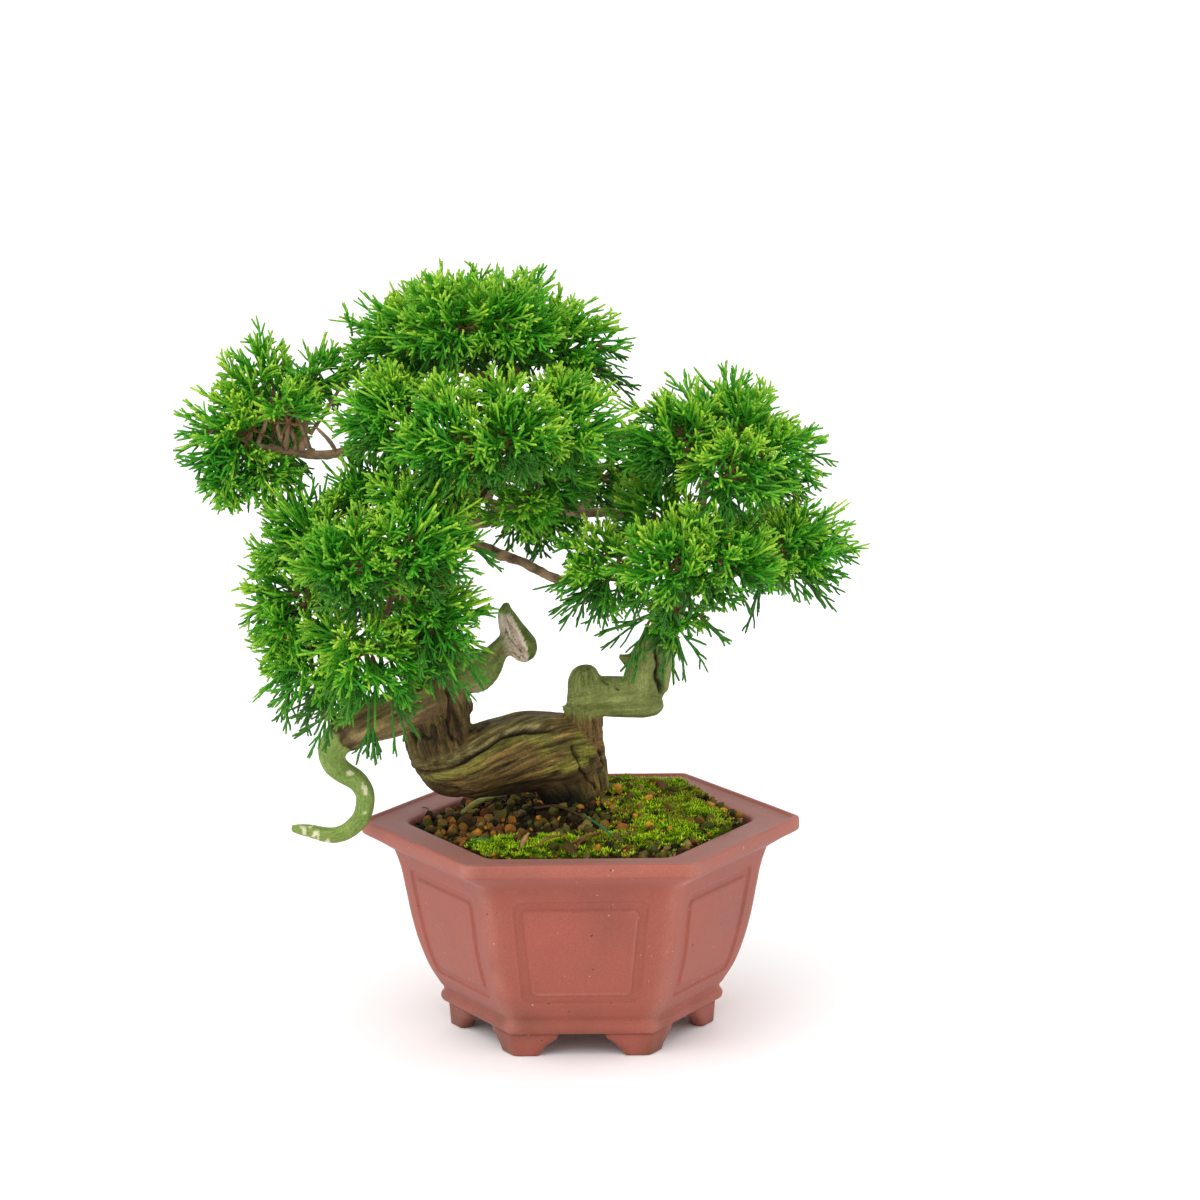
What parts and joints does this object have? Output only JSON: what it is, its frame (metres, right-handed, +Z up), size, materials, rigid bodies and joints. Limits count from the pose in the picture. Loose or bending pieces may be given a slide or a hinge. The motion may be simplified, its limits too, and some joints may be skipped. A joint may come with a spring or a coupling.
{
  "type": "potted bonsai tree",
  "caption": "Leaning juniper bonsai with bare deadwood stubs and rounded pads of scale foliage, planted in an unglazed hexagonal clay pot on bracket feet.",
  "frame": {"origin": "on the surface that the pot stands on, under the middle of the whole object's bounding box", "axes": "+Z up, +X to the right as seen from the front, +Y towards the back; one flat face of the pot looks along -Y"},
  "size_m": [0.2894, 0.1646, 0.3308],
  "materials": {
    "clay": "matte",
    "screen_plastic": "matte",
    "growing_mix": "matte",
    "moss": "matte",
    "bark": "matte",
    "foliage": "satin"
  },
  "bodies": {
    "root": {"pot": "clay", "drain_screen": "screen_plastic", "soil": "growing_mix", "moss_front": "moss", "moss_right": "moss", "moss_back": "moss", "trunk": "bark", "spray_a1": "foliage", "spray_a2": "foliage", "spray_a3": "foliage", "spray_a4": "foliage", "spray_a5": "foliage", "spray_b1": "foliage", "spray_b2": "foliage", "spray_b3": "foliage", "spray_b4": "foliage", "spray_b5": "foliage", "spray_b6": "foliage", "spray_b7": "foliage", "spray_c1": "foliage", "spray_c2": "foliage", "spray_c3": "foliage", "spray_c4": "foliage", "spray_c5": "foliage", "spray_d1": "foliage", "spray_d2": "foliage", "spray_d3": "foliage", "spray_d4": "foliage", "spray_d5": "foliage", "spray_e1": "foliage", "spray_e2": "foliage", "spray_e3": "foliage", "spray_e4": "foliage", "spray_e5": "foliage", "spray_e6": "foliage", "spray_e7": "foliage", "spray_f1": "foliage", "spray_f2": "foliage", "spray_f3": "foliage", "spray_f4": "foliage", "spray_f5": "foliage", "spray_f6": "foliage", "spray_f7": "foliage", "spray_f8": "foliage", "spray_f9": "foliage", "spray_g1": "foliage", "spray_g2": "foliage", "spray_g3": "foliage"}
  },
  "joints": []
}
